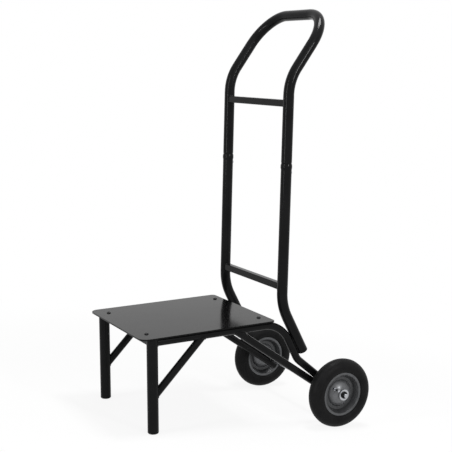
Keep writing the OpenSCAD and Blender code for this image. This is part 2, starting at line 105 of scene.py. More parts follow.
# Tyre: steps around the wheel and around its section, its bead's half width, how far the bead sits inside
# the rim's lip and clears it, its parting line, and the height, place and half width of its ribs.
TYRE_STEPS = 144
SECTION_STEPS = 96
BEAD_HALF = 0.0152
BEAD_DROP = 0.0048
LIP_GAP = 0.0004
PARTING_LINE = 0.00025
TYRE_RIB = 0.0005
RIB_PLACES = (math.radians(-22.0), math.radians(-158.0))
RIB_HALF = 0.04

# Painted light and shade on the rims' paint: how far out they reach, then distance from the axle and brightness
# over the dome, valley, cone and lip. The paler dome is a painted highlight; the darker valley and cone are
# painted shade.
RIM_REACH = 0.064
RIM_PAINTED_SHADING = ((0.03, 1.3), (0.037, 1.15), (0.042, 0.55), (0.049, 0.55), (0.056, 0.75), (0.059, 1.0))

# Values that a noise mostly stays between.
NOISE_LOW = 0.3
NOISE_HIGH = 0.7

# Stage: the floor's roughness, the camera's sensor width in millimetres, the points that the lamps are
# aimed at, and each lamp's place, aim, width and height.
FLOOR_ROUGHNESS = 0.9
SENSOR_WIDTH = 36.0
MIDDLE = (0.0, 0.0, 0.55)
LOOP = (0.17, 0.05, 1.02)
LAMPS = {
    "strip_lamp": ((0.75, -3.1, 1.0), MIDDLE, 0.35, 2.2),
    "side_lamp": ((2.9, 0.5, 1.7), LOOP, 0.3, 0.7),
    "top_lamp": ((0.15, 0.15, 2.2), LOOP, 0.5, 0.5),
    "key_lamp": ((3.0, -0.6, 2.6), MIDDLE, 1.8, 1.8),
}


class TrolleyPaint(bpy.types.PropertyGroup):
    """Colours and gloss of the finishes."""

    frame_colour: FloatVectorProperty(
        name="Frame paint", description="Colour of the gloss paint on the tubes",
        subtype="COLOR", size=3, min=0.0, max=1.0, default=(0.0056, 0.0056, 0.0059))
    frame_gloss: FloatProperty(
        name="Frame roughness", description="Roughness of the paint on the tubes",
        subtype="FACTOR", min=0.0, max=1.0, default=0.15)
    deck_colour: FloatVectorProperty(
        name="Deck paint", description="Colour of the satin paint on the deck",
        subtype="COLOR", size=3, min=0.0, max=1.0, default=(0.0034, 0.0034, 0.0036))
    deck_gloss: FloatProperty(
        name="Deck roughness", description="Roughness of the paint on the deck",
        subtype="FACTOR", min=0.0, max=1.0, default=0.14)
    rim_colour: FloatVectorProperty(
        name="Rim paint", description="Colour of the paint on the wheel rims",
        subtype="COLOR", size=3, min=0.0, max=1.0, default=(0.089, 0.091, 0.095))
    rubber_colour: FloatVectorProperty(
        name="Rubber", description="Colour of the tyres",
        subtype="COLOR", size=3, min=0.0, max=1.0, default=(0.0066, 0.0066, 0.0068))
    moulding_colour: FloatVectorProperty(
        name="Moulding", description="Colour of the plugs and feet",
        subtype="COLOR", size=3, min=0.0, max=1.0, default=(0.007, 0.007, 0.007))
    zinc_colour: FloatVectorProperty(
        name="Zinc", description="Colour of the plated steel",
        subtype="COLOR", size=3, min=0.0, max=1.0, default=(0.43, 0.44, 0.46))
    screw_colour: FloatVectorProperty(
        name="Black steel", description="Colour of the blackened deck screws",
        subtype="COLOR", size=3, min=0.0, max=1.0, default=(0.012, 0.012, 0.013))


class TrolleyShape(bpy.types.PropertyGroup):
    """Sizes of the shapes that finish the frame, square to the deck and from the legs' line."""

    deck_top: FloatProperty(
        name="Deck height", description="Height of the deck's top above the feet, along the legs",
        unit="LENGTH", min=0.2, max=0.4, default=0.262)
    deck_thickness: FloatProperty(
        name="Deck thickness", description="Thickness of the deck plate",
        unit="LENGTH", min=0.002, max=0.01, default=0.004)
    deck_mount: FloatProperty(
        name="Deck mount", description="Distance from the legs' line to the deck's mount",
        unit="LENGTH", min=0.1, max=0.3, default=0.163)
    sheet_edge: FloatProperty(
        name="Sheet edge", description="Radius of the deck plate's edges",
        unit="LENGTH", min=0.0002, max=0.002, default=0.0009)
    screw_offset: FloatProperty(
        name="Screw offset", description="Distance from the middle to the deck screws",
        unit="LENGTH", min=0.08, max=0.15, default=0.127)
    rear_screws: FloatProperty(
        name="Rear screws", description="Distance from the legs' line to the rear deck screws",
        unit="LENGTH", min=0.3, max=0.4, default=0.344)
    post_radius: FloatProperty(
        name="Post radius", description="Radius of the legs, uprights and handle",
        unit="LENGTH", min=0.01, max=0.03, default=0.015)
    rail_radius: FloatProperty(
        name="Rail radius", description="Radius of the side rails",
        unit="LENGTH", min=0.008, max=0.02, default=0.011)
    brace_radius: FloatProperty(
        name="Brace radius", description="Radius of the leg braces and axle struts",
        unit="LENGTH", min=0.008, max=0.02, default=0.0105)
    post_offset: FloatProperty(
        name="Post offset", description="Distance from the middle to the legs' and uprights' axes",
        unit="LENGTH", min=0.1, max=0.25, default=0.1615)
    rung_side: FloatProperty(
        name="Rung side", description="Side of the square rungs",
        unit="LENGTH", min=0.01, max=0.03, default=0.019)
    brace_foot: FloatProperty(
        name="Brace height", description="Height at which a brace's axis meets its leg's axis",
        unit="LENGTH", min=0.05, max=0.15, default=0.096)
    brace_slope: FloatProperty(
        name="Brace slope", description="Slope of the leg braces",
        subtype="ANGLE", min=0.5, max=1.0, default=math.radians(45.0))
    strut_line: FloatProperty(
        name="Strut line", description="Distance from the legs' line to the struts' upper ends",
        unit="LENGTH", min=0.2, max=0.3, default=0.24718)
    strut_slope: FloatProperty(
        name="Strut slope", description="Slope of the axle struts",
        subtype="ANGLE", min=0.5, max=0.8, default=math.radians(35.67))
    upright_line: FloatProperty(
        name="Upright line", description="Distance from the legs to the uprights, at the deck's height",
        unit="LENGTH", min=0.3, max=0.5, default=0.3975)
    upright_rake: FloatProperty(
        name="Upright rake", description="Lean of the uprights from square to the deck",
        subtype="ANGLE", min=0.0, max=0.1, default=math.radians(1.55))
    kick_height: FloatProperty(
        name="Kick height", description="Height of the uprights' lower bends",
        unit="LENGTH", min=0.25, max=0.35, default=0.297)
    kick_slope: FloatProperty(
        name="Kick slope", description="Angle of the uprights' lower ends from square to the deck",
        subtype="ANGLE", min=0.3, max=0.6, default=math.radians(27.0))
    seam_start: FloatProperty(
        name="Seam start", description="Where a rail starts to run along its upright, below the lower bend",
        unit="LENGTH", min=0.05, max=0.12, default=0.1)
    seam_end: FloatProperty(
        name="Seam end", description="Where a rail leaves its upright, below the lower bend",
        unit="LENGTH", min=0.12, max=0.16, default=0.151)
    joint_height: FloatProperty(
        name="Joint height", description="Height of the slip joints that carry the handle",
        unit="LENGTH", min=0.5, max=0.8, default=0.693)
    joint_screw_drop: FloatProperty(
        name="Joint screw drop", description="Distance from a slip joint down to its screw",
        unit="LENGTH", min=0.01, max=0.05, default=0.024)
    lower_rung: FloatProperty(
        name="Lower rung", description="Height of the lower rung",
        unit="LENGTH", min=0.3, max=0.5, default=0.351)
    upper_rung: FloatProperty(
        name="Upper rung", description="Height of the upper rung",
        unit="LENGTH", min=0.7, max=0.9, default=0.856)
    weld_size: FloatProperty(
        name="Weld size", description="Radius of a weld bead's section",
        unit="LENGTH", min=0.0005, max=0.004, default=0.0018)
    tyre_radius: FloatProperty(
        name="Tyre radius", description="Radius of the tyres over their crowns",
        unit="LENGTH", min=0.08, max=0.12, default=0.1)
    tyre_section: FloatProperty(
        name="Tyre section", description="Radius of the tyres' round section",
        unit="LENGTH", min=0.02, max=0.03, default=0.024)
    rim_radius: FloatProperty(
        name="Rim radius", description="Radius of the rims' lips",
        unit="LENGTH", min=0.05, max=0.07, default=0.063)


class TrolleyStage(bpy.types.PropertyGroup):
    """The studio: camera, lamps, floor and background."""

    view_azimuth: FloatProperty(
        name="View azimuth", description="Turn of the camera from the trolley's front",
        subtype="ANGLE", min=-math.pi, max=math.pi, default=math.radians(60.709))
    view_pitch: FloatProperty(
        name="View pitch", description="How far the camera looks down on the deck's plane",
        subtype="ANGLE", min=-0.5, max=1.0, default=math.radians(9.584))
    view_place: FloatVectorProperty(
        name="View place", description="Camera's place, square to the deck and from the legs' line",
        subtype="TRANSLATION", unit="LENGTH", size=3, default=(2.4817, -1.0812, 0.986))
    view_lens: FloatProperty(
        name="View lens", description="Focal length for a 36 mm wide frame",
        unit="CAMERA", min=20.0, max=200.0, default=80.81)
    floor_size: FloatProperty(
        name="Floor size", description="Width of the floor",
        unit="LENGTH", min=5.0, max=60.0, default=40.0)
    floor_colour: FloatVectorProperty(
        name="Floor colour", description="Colour of the floor",
        subtype="COLOR", size=3, min=0.0, max=1.0, default=(0.9, 0.9, 0.9))
    shadow_reach: FloatProperty(
        name="Shadow reach", description="Distance from the middle within which the floor shows its shadows",
        unit="LENGTH", min=0.2, max=5.0, default=0.7)
    white_reach: FloatProperty(
        name="White reach", description="Distance from the middle beyond which the floor is plain white",
        unit="LENGTH", min=0.5, max=10.0, default=1.5)
    floor_glow: FloatProperty(
        name="Floor glow", description="Share of plain white in the floor near the trolley",
        subtype="FACTOR", min=0.0, max=1.0, default=0.88)
    room_light: FloatProperty(
        name="Room light", description="Strength of the even light from the room",
        min=0.0, max=2.0, default=0.4)
    strip_power: FloatProperty(
        name="Strip lamp", description="Power of the narrow lamp in front of the trolley",
        unit="POWER", min=0.0, max=500.0, default=38.0)
    side_power: FloatProperty(
        name="Side lamp", description="Power of the narrow lamp on the trolley's right",
        unit="POWER", min=0.0, max=500.0, default=28.0)
    top_power: FloatProperty(
        name="Top lamp", description="Power of the lamp above the handle",
        unit="POWER", min=0.0, max=500.0, default=25.0)
    key_power: FloatProperty(
        name="Key lamp", description="Power of the large lamp beside and above the camera",
        unit="POWER", min=0.0, max=500.0, default=11.0)


def chassis_matrix():
    """Carries a point square to the deck, from the legs' line and the feet, to where the trolley stands."""
    shape = bpy.context.scene.trolley_shape
    deck_point = Vector((0.0, shape.deck_mount, shape.deck_top))
    return (Matrix.Translation(Vector(DECK_MOUNT["pos_m"])) @ Matrix.Rotation(DECK_SLOPE, 4, "X")
            @ Matrix.Translation(-deck_point))


# Finishes


class Finish:
    """A material under construction: a principled shader with helpers for its nodes."""

    def __init__(self, name):
        self.material = bpy.data.materials.new(name)
        self.material.use_nodes = True
        self.nodes = self.material.node_tree.nodes
        self.links = self.material.node_tree.links
        self.shader = self.nodes["Principled BSDF"]
        self.place = self.nodes.new("ShaderNodeTexCoord").outputs["Object"]

    def set(self, **values):
        for name, value in values.items():
            self.shader.inputs[name.replace("_", " ").title().replace("Ior", "IOR")].default_value = value

    def noise(self, scale, detail=2.0, roughness=0.5, stretch=None):
        node = self.nodes.new("ShaderNodeTexNoise")
        node.inputs["Scale"].default_value = scale
        node.inputs["Detail"].default_value = detail
        node.inputs["Roughness"].default_value = roughness
        source = self.place
        if stretch:
            mapping = self.nodes.new("ShaderNodeMapping")
            mapping.inputs["Scale"].default_value = stretch
            self.links.new(self.place, mapping.inputs["Vector"])
            source = mapping.outputs["Vector"]
        self.links.new(source, node.inputs["Vector"])
        return node.outputs["Fac"]

    def between(self, value, low, high):
        """Spreads a noise over a range of numbers."""
        node = self.nodes.new("ShaderNodeMapRange")
        node.inputs["From Min"].default_value = NOISE_LOW
        node.inputs["From Max"].default_value = NOISE_HIGH
        node.inputs["To Min"].default_value = low
        node.inputs["To Max"].default_value = high
        self.links.new(value, node.inputs["Value"])
        return node.outputs["Result"]

    def tint(self, value, colour, spread):
        """Spreads a noise over shades of a colour, and makes it the base colour."""
        ramp = self.nodes.new("ShaderNodeValToRGB")
        dark = [c * (1.0 - spread) for c in colour]
        pale = [c * (1.0 + spread) for c in colour]
        ramp.color_ramp.elements[0].position = NOISE_LOW
        ramp.color_ramp.elements[0].color = (*dark, 1.0)
        ramp.color_ramp.elements[1].position = NOISE_HIGH
        ramp.color_ramp.elements[1].color = (*pale, 1.0)
        self.links.new(value, ramp.inputs["Fac"])
        self.links.new(ramp.outputs["Color"], self.shader.inputs["Base Color"])

    def paint_shading_rings(self, shades):
        """Darkens or lightens the base colour in rings around the wheels' axis: painted shade and painted light.
        """
        mapping = self.nodes.new("ShaderNodeMapping")
        mapping.inputs["Location"].default_value = (0.0, -AXLE.y, -AXLE.z)
        mapping.inputs["Scale"].default_value = (0.0, 1.0, 1.0)
        self.links.new(self.place, mapping.inputs["Vector"])
        distance = self.nodes.new("ShaderNodeVectorMath")
        distance.operation = "LENGTH"
        self.links.new(mapping.outputs["Vector"], distance.inputs[0])
        share = self.nodes.new("ShaderNodeMapRange")
        share.inputs["From Max"].default_value = RIM_REACH
        self.links.new(distance.outputs["Value"], share.inputs["Value"])
        ramp = self.nodes.new("ShaderNodeValToRGB")
        while len(ramp.color_ramp.elements) < len(shades):
            ramp.color_ramp.elements.new(1.0)
        for stop, (radius, grey) in zip(ramp.color_ramp.elements, shades):
            stop.position = radius / RIM_REACH
            stop.color = (grey, grey, grey, 1.0)
        self.links.new(share.outputs["Result"], ramp.inputs["Fac"])
        # The base colour times the painted light and shade.
        shaded = self.nodes.new("ShaderNodeVectorMath")
        shaded.operation = "MULTIPLY"
        self.links.new(self.shader.inputs["Base Color"].links[0].from_socket, shaded.inputs[0])
        self.links.new(ramp.outputs["Color"], shaded.inputs[1])
        self.links.new(shaded.outputs["Vector"], self.shader.inputs["Base Color"])

    def roughness(self, value, low, high):
        self.links.new(self.between(value, low, high), self.shader.inputs["Roughness"])

    def bump(self, value, depth, strength):
        node = self.nodes.new("ShaderNodeBump")
        node.inputs["Distance"].default_value = depth
        node.inputs["Strength"].default_value = strength
        self.links.new(value, node.inputs["Height"])
        self.links.new(node.outputs["Normal"], self.shader.inputs["Normal"])


def gloss_paint(colour, gloss):
    """Sprayed gloss enamel: faint orange peel and slow changes of tone."""
    paint = Finish("gloss_paint")
    paint.tint(paint.noise(scale=14.0, detail=3.0), colour, spread=0.22)
    paint.roughness(paint.noise(scale=60.0, detail=3.0), low=gloss - 0.03, high=gloss + 0.04)
    paint.bump(paint.noise(scale=420.0, detail=2.0), depth=0.00002, strength=0.35)
    paint.set(specular_ior_level=0.075)
    return paint.material


def satin_paint(colour, gloss):
    """Powder coat on sheet: a fine grain, and wipe marks along the deck."""
    paint = Finish("satin_paint")
    paint.tint(paint.noise(scale=9.0, detail=4.0), colour, spread=0.16)
    wipe_marks = paint.noise(scale=26.0, detail=4.0, stretch=(1.0, 0.25, 1.0))
    paint.roughness(wipe_marks, low=gloss - 0.02, high=gloss + 0.03)
    paint.bump(paint.noise(scale=1500.0, detail=2.0), depth=0.00001, strength=0.3)
    paint.set(specular_ior_level=0.09)
    return paint.material


def rim_paint(colour):
    """Grey lacquer on pressed sheet, with painted shade in the valley between dome and lip and painted light on
    the dome.
    """
    paint = Finish("rim_paint")
    paint.tint(paint.noise(scale=70.0, detail=3.0), colour, spread=0.18)
    # Painted highlight on the dome, painted shade in the valley and cone.
    paint.paint_shading_rings(RIM_PAINTED_SHADING)
    paint.roughness(paint.noise(scale=180.0, detail=3.0), low=0.28, high=0.4)
    paint.bump(paint.noise(scale=700.0, detail=2.0), depth=0.0001, strength=0.25)
    paint.set(metallic=0.5, specular_ior_level=0.4)
    return paint.material


def tyre_rubber(colour):
    """Moulded rubber with a dry bloom and a fine grain."""
    rubber = Finish("tyre_rubber")
    rubber.tint(rubber.noise(scale=45.0, detail=5.0, roughness=0.6), colour, spread=0.3)
    rubber.roughness(rubber.noise(scale=90.0, detail=4.0), low=0.42, high=0.58)
    rubber.bump(rubber.noise(scale=1100.0, detail=3.0), depth=0.00015, strength=0.4)
    rubber.set(specular_ior_level=0.07)
    return rubber.material


def black_moulding(colour):
    """Moulded plugs and feet with a spark-eroded grain."""
    moulding = Finish("black_moulding")
    moulding.tint(moulding.noise(scale=120.0, detail=4.0), colour, spread=0.2)
    moulding.roughness(moulding.noise(scale=300.0, detail=3.0), low=0.45, high=0.6)
    moulding.bump(moulding.noise(scale=1800.0, detail=2.0), depth=0.0001, strength=0.5)
    moulding.set(specular_ior_level=0.07)
    return moulding.material


def zinc_plate(colour):
    """Bright zinc plate with turning marks around the axle."""
    zinc = Finish("zinc_plate")
    zinc.tint(zinc.noise(scale=160.0, detail=4.0), colour, spread=0.1)
    zinc.roughness(zinc.noise(scale=240.0, detail=3.0, stretch=(6.0, 1.0, 1.0)), low=0.18, high=0.34)
    zinc.bump(zinc.noise(scale=900.0, detail=2.0, stretch=(4.0, 1.0, 1.0)), depth=0.00006, strength=0.3)
    zinc.set(metallic=1.0)
    return zinc.material


def black_steel(colour):
    """Blackened screws."""
    steel = Finish("black_steel")
    steel.tint(steel.noise(scale=300.0, detail=3.0), colour, spread=0.25)
    steel.roughness(steel.noise(scale=500.0, detail=3.0), low=0.3, high=0.45)
    steel.bump(steel.noise(scale=1600.0, detail=2.0), depth=0.00005, strength=0.3)
    steel.set(metallic=0.6)
    return steel.material


def wear(objects, material):
    for piece in objects:
        piece.data.materials.clear()
        piece.data.materials.append(material)


def nodes_in_slot(slot):
    return [NODES[node] for node, name in SLOT_OF.items() if name == slot]


# Mesh helpers


def add_piece(name, bm, body, material, replaced=()):
    """Makes a finished piece of a bmesh, and sets it on its body."""
    mesh = bpy.data.meshes.new(name)
    bm.to_mesh(mesh)
    bm.free()
    piece = bpy.data.objects.new(name, mesh)
    bpy.context.scene.collection.objects.link(piece)
    wear([piece], material)
    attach(piece, body)
    if replaced:
        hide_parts(*replaced)
    return piece


def join(bm, part):
    """Moves a finished bmesh into another."""
    mesh = bpy.data.meshes.new("joined")
    part.to_mesh(mesh)
    part.free()
    bm.from_mesh(mesh)
    bpy.data.meshes.remove(mesh)


def shade_smooth(bm):
    for face in bm.faces:
        face.smooth = True


def softened(node, radius, crease):
    """A copy of a CAD node whose sharp edges are rounded."""
    bm = bmesh.new()
    bm.from_mesh(NODES[node].data)
    bmesh.ops.remove_doubles(bm, verts=bm.verts, dist=CAD_MERGE)
    bmesh.ops.dissolve_limit(bm, angle_limit=FLAT_LIMIT, verts=bm.verts, edges=bm.edges)
    sharp = [e for e in bm.edges if e.is_manifold and e.calc_face_angle() > crease]
    bmesh.ops.bevel(bm, geom=sharp, offset=radius, segments=EDGE_STEPS, profile=0.5,
                    affect="EDGES", material=-1, clamp_overlap=True)
    shade_smooth(bm)
    return bm


def even_shading(piece):
    """Flat faces stay flat beside rounded edges."""
    modifier = piece.modifiers.new("even_shading", "WEIGHTED_NORMAL")
    modifier.keep_sharp = False
    modifier.weight = FACE_WEIGHT


def weld_bead(bm, foot, along, post, post_radius, reach, size, square=False):
    """Adds a rippled bead around the end of a tube that meets a round post.

    foot is where the two axes meet, along and post their headings, reach the tube's radius or half side.
    """
    across = post.cross(along).normalized()
    rise = along.cross(across)
    facing = across.cross(post)
    bead = bmesh.new()
    section = bmesh.ops.create_circle(bead, cap_ends=False, segments=BEAD_SIDES, radius=size)["verts"]
    bmesh.ops.rotate(bead, verts=section, cent=(0, 0, 0), matrix=Matrix.Rotation(math.pi / 2, 3, "X"))
    bmesh.ops.translate(bead, verts=section, vec=(reach, 0, 0))
    bmesh.ops.spin(bead, geom=section + bead.edges[:], cent=(0, 0, 0), axis=(0, 0, 1), angle=math.tau,
                   steps=WELD_STEPS, use_merge=True)
    bmesh.ops.remove_doubles(bead, verts=bead.verts, dist=MERGE)
    for vert in bead.verts:
        angle = math.atan2(vert.co.y, vert.co.x)
        ripple = 1.0 + sum(height * math.cos(count * angle + start) for height, count, start in BEAD_RIPPLES)
        out = (math.hypot(vert.co.x, vert.co.y) - reach) * ripple
        lift = vert.co.z * ripple
        distance = reach
        if square:
            corner = 1.0 / max(abs(math.cos(angle)), abs(math.sin(angle)))
            distance = reach * min(corner, WELD_CORNER)
        u = (distance + out) * math.cos(angle)
        v = (distance + out) * math.sin(angle)
        seat_u = distance * math.cos(angle)
        seat_v = distance * math.sin(angle)
        depth = math.sqrt(max(post_radius ** 2 - seat_u ** 2, 0.0))
        seat = (depth - seat_v * rise.dot(facing)) / along.dot(facing)
        vert.co = foot + across * u + rise * v + along * (seat + lift)
    bmesh.ops.recalc_face_normals(bead, faces=bead.faces)
    join(bm, bead)


def seam_bead(bm, start, end, size):
    """Adds a rippled bead along a straight seam, tapered at its ends."""
    run = end - start
    turn = run.to_track_quat("Z", "Y").to_matrix()
    bead = bmesh.new()
    bmesh.ops.create_uvsphere(bead, u_segments=SEAM_SIDES, v_segments=WELD_STEPS, radius=1.0)
    for vert in bead.verts:
        polar = math.acos(max(-1.0, min(1.0, vert.co.z)))
        share = 1.0 - 2.0 * polar / math.pi
        ripple = 1.0 + SEAM_SWELL * math.cos(run.length / SEAM_RIPPLE * math.pi * share)
        thickness = size * math.sqrt(max(1.0 - share ** SEAM_TAPER, 0.0)) * ripple
        around = Vector((vert.co.x, vert.co.y, 0.0))
        if around.length > MERGE:
            around.normalize()
        local = around * thickness + Vector((0.0, 0.0, share * run.length / 2))
        vert.co = (start + end) / 2 + turn @ local
    bmesh.ops.recalc_face_normals(bead, faces=bead.faces)
    join(bm, bead)


def socket_screw(bm, profile, socket, matrix):
    """Adds a screw: a profile of radii and heights spun about +Z, with a six-sided socket in its top."""
    flats, depth = socket
    screw = bmesh.new()
    line = [screw.verts.new((radius, 0.0, height)) for radius, height in profile]
    edges = [screw.edges.new(pair) for pair in zip(line, line[1:])]
    bmesh.ops.spin(screw, geom=line + edges, cent=(0, 0, 0), axis=(0, 0, 1), angle=math.tau,
                   steps=SCREW_STEPS, use_merge=True)
    bmesh.ops.remove_doubles(screw, verts=screw.verts, dist=SCREW_MERGE)
    caps = bmesh.ops.holes_fill(screw, edges=[e for e in screw.edges if e.is_boundary], sides=0)["faces"]
    top = max(caps, key=lambda face: face.calc_center_median().z)
    bmesh.ops.inset_individual(screw, faces=[top], thickness=SOCKET_RIM)
    for vert in top.verts:
        angle = math.atan2(vert.co.y, vert.co.x)
        sector = (angle + math.pi / 6) % (math.pi / 3) - math.pi / 6
        radius = flats / 2 / math.cos(sector)
        vert.co.x, vert.co.y = radius * math.cos(angle), radius * math.sin(angle)
    floor = bmesh.ops.extrude_discrete_faces(screw, faces=[top])["faces"]
    bmesh.ops.translate(screw, verts=floor[0].verts[:], vec=(0, 0, -depth))
    bmesh.ops.recalc_face_normals(screw, faces=screw.faces)
    bmesh.ops.transform(screw, matrix=matrix, verts=screw.verts)
    join(bm, screw)


# Operators


class TROLLEY_OT_tubes(bpy.types.Operator):
    """Paint the bent and straight tubes"""

    bl_idname = "trolley.tubes"
    bl_label = "Paint Tubes"

    def execute(self, context):
        paint = context.scene.trolley_paint
        wear(nodes_in_slot("frame_paint"), gloss_paint(paint.frame_colour, paint.frame_gloss))
        return {"FINISHED"}


class TROLLEY_OT_deck(bpy.types.Operator):
    """Round the deck plate's edges and paint it"""

    bl_idname = "trolley.deck"
    bl_label = "Finish Deck"

    def execute(self, context):
        paint = context.scene.trolley_paint
        shape = context.scene.trolley_shape
        bm = softened("deck_plate", shape.sheet_edge, DECK_CREASE)
        plate = add_piece("deck_plate_rounded", bm, "frame",
                          satin_paint(paint.deck_colour, paint.deck_gloss), ["deck_plate"])
        even_shading(plate)
        return {"FINISHED"}


class TROLLEY_OT_screws(bpy.types.Operator):
    """Give the deck screws and the slip joints' screws their sockets"""

    bl_idname = "trolley.screws"
    bl_label = "Finish Screws"

    def execute(self, context):
        paint = context.scene.trolley_paint
        shape = context.scene.trolley_shape
        chassis = chassis_matrix()
        deck = bmesh.new()
        for side in SIDES.values():
            for line in (0.0, shape.rear_screws):
                place = Vector((side * shape.screw_offset, line, shape.deck_top))
                socket_screw(deck, DECK_SCREW, DECK_SOCKET, chassis @ Matrix.Translation(place))
        joint = bmesh.new()
        line = shape.upright_line + (shape.joint_height - shape.deck_top) * math.tan(shape.upright_rake)
        for side in SIDES.values():
            top = Matrix.Translation((side * shape.post_offset, line, shape.joint_height))
            post = top @ Matrix.Rotation(-shape.upright_rake, 4, "X")
            screw = post @ Matrix.Translation((0, shape.post_radius, -shape.joint_screw_drop))
            rearward = Matrix.Rotation(-math.pi / 2, 4, "X")
            socket_screw(joint, JOINT_SCREW, JOINT_SOCKET, chassis @ screw @ rearward)
        for bm in (deck, joint):
            shade_smooth(bm)
        blackened = add_piece("deck_screws_socketed", deck, "frame",
                              black_steel(paint.screw_colour), ["deck_screws"])
        plated = add_piece("joint_screws_socketed", joint, "frame",
                           zinc_plate(paint.zinc_colour), ["joint_screws"])
        for piece in (blackened, plated):
            even_shading(piece)
        return {"FINISHED"}


class TROLLEY_OT_welds(bpy.types.Operator):
    """Run weld beads around the tube joints, and along the seams between the rails and the uprights"""

    bl_idname = "trolley.welds"
    bl_label = "Add Welds"

    def execute(self, context):
        shape = context.scene.trolley_shape
        bm = bmesh.new()
        for side in SIDES.values():
            self.weld_side(bm, shape, side)
        bmesh.ops.transform(bm, matrix=chassis_matrix(), verts=bm.verts)
        shade_smooth(bm)
        add_piece("weld_beads", bm, "frame", bpy.data.materials["gloss_paint"])
        return {"FINISHED"}

    @staticmethod
    def weld_side(bm, shape, side):
        """Adds the beads of one side, square to the deck and from the legs' line."""
        size = shape.weld_size
        rail_z = shape.deck_top - shape.deck_thickness - shape.rail_radius
        up = Vector((0, 0, 1))
        back = Vector((0, 1, 0))
        leg = Vector((side * shape.post_offset, 0, 0))
        brace = Vector((0, math.cos(shape.brace_slope), math.sin(shape.brace_slope)))
        strut = Vector((0, math.cos(shape.strut_slope), -math.sin(shape.strut_slope)))
        brace_top = (rail_z - shape.brace_foot) / math.tan(shape.brace_slope)
        weld_bead(bm, leg + up * rail_z, back, up, shape.post_radius, shape.rail_radius, size)
        weld_bead(bm, leg + up * shape.brace_foot, brace, up, shape.post_radius, shape.brace_radius, size)
        for place, heading in ((brace_top, -brace), (shape.strut_line, strut)):
            weld_bead(bm, leg + back * place + up * rail_z, heading, back, shape.rail_radius,
                      shape.brace_radius, size)
        rake = Vector((0, math.sin(shape.upright_rake), math.cos(shape.upright_rake)))
        for height in (shape.lower_rung, shape.upper_rung):
            line = shape.upright_line + (height - shape.deck_top) * math.tan(shape.upright_rake)
            weld_bead(bm, leg + back * line + up * height, Vector((-side, 0, 0)), rake,
                      shape.post_radius, shape.rung_side / 2, size, square=True)
        kick_line = shape.upright_line + (shape.kick_height - shape.deck_top) * math.tan(shape.upright_rake)
        kick = leg + back * kick_line + up * shape.kick_height
        down = Vector((0, math.sin(shape.kick_slope), -math.cos(shape.kick_slope)))
        front = Vector((0, -math.cos(shape.kick_slope), -math.sin(shape.kick_slope)))
        span = shape.post_radius + shape.rail_radius
        post_side, rail_side = shape.post_radius + size / 2, shape.rail_radius + size / 2
        ahead = (post_side ** 2 - rail_side ** 2 + span ** 2) / (2 * span)
        beside = math.sqrt(post_side ** 2 - ahead ** 2)
        for hand in (-1.0, 1.0):
            groove = kick + front * ahead + Vector((hand * beside, 0, 0))
            seam_bead(bm, groove + down * shape.seam_start, groove + down * shape.seam_end, size)


class TROLLEY_OT_plugs(bpy.types.Operator):
    """Finish the moulded feet, plugs, caps and bushes"""

    bl_idname = "trolley.plugs"
    bl_label = "Finish Plugs"

    def execute(self, context):
        wear(nodes_in_slot("black_plastic"), black_moulding(context.scene.trolley_paint.moulding_colour))
        return {"FINISHED"}


class TROLLEY_OT_tyres(bpy.types.Operator):
    """Mould the tyres, with a parting line and a rib above each rim"""

    bl_idname = "trolley.tyres"
    bl_label = "Mould Tyres"

    def execute(self, context):
        rubber = tyre_rubber(context.scene.trolley_paint.rubber_colour)
        for name, side in SIDES.items():
            bm = bmesh.new()
            self.spin_casing(bm, context.scene.trolley_shape, side)
            add_piece(name + "_tyre_moulded", bm, name + "_wheel", rubber, [name + "_tyre"])
        return {"FINISHED"}

    @staticmethod
    def spin_casing(bm, shape, side):
        """Draws a tyre's section and spins it about the axle."""
        centre = shape.tyre_radius - shape.tyre_section
        section = bmesh.ops.create_circle(bm, cap_ends=False, segments=SECTION_STEPS,
                                          radius=shape.tyre_section - PARTING_LINE)["verts"]
        for vert in section:
            angle = math.atan2(vert.co.y, vert.co.x)
            if abs(angle - math.pi / 2) < math.pi / SECTION_STEPS:
                vert.co += vert.co.normalized() * PARTING_LINE
            if any(abs(angle - rib) < RIB_HALF for rib in RIB_PLACES):
                vert.co += vert.co.normalized() * TYRE_RIB
        for vert in section:
            radius = centre + vert.co.y
            if radius < shape.rim_radius + LIP_GAP:
                vert.co.x = max(-BEAD_HALF, min(BEAD_HALF, vert.co.x))
            vert.co.y = max(radius, shape.rim_radius - BEAD_DROP) - centre
        bmesh.ops.rotate(bm, verts=section, cent=(0, 0, 0), matrix=Matrix.Rotation(math.pi / 2, 3, "X"))
        hub = Vector((side * AXLE.x, AXLE.y, AXLE.z))
        bmesh.ops.translate(bm, verts=section, vec=hub + Vector((0, 0, centre)))
        bmesh.ops.spin(bm, geom=section + bm.edges[:], cent=hub, axis=(1, 0, 0), angle=math.tau,
                       steps=TYRE_STEPS, use_merge=True)
        bmesh.ops.remove_doubles(bm, verts=bm.verts, dist=MERGE)
        bmesh.ops.recalc_face_normals(bm, faces=bm.faces)
        shade_smooth(bm)


class TROLLEY_OT_rims(bpy.types.Operator):
    """Paint the pressed rims"""

    bl_idname = "trolley.rims"
    bl_label = "Paint Rims"

    def execute(self, context):
        wear(nodes_in_slot("rim_paint"), rim_paint(context.scene.trolley_paint.rim_colour))
        return {"FINISHED"}


class TROLLEY_OT_fittings(bpy.types.Operator):
    """Plate the axle, spacers, washers, hubs and valves"""

    bl_idname = "trolley.fittings"
    bl_label = "Plate Fittings"

    def execute(self, context):
        wear(nodes_in_slot("zinc_steel"), bpy.data.materials["zinc_plate"])
        return {"FINISHED"}


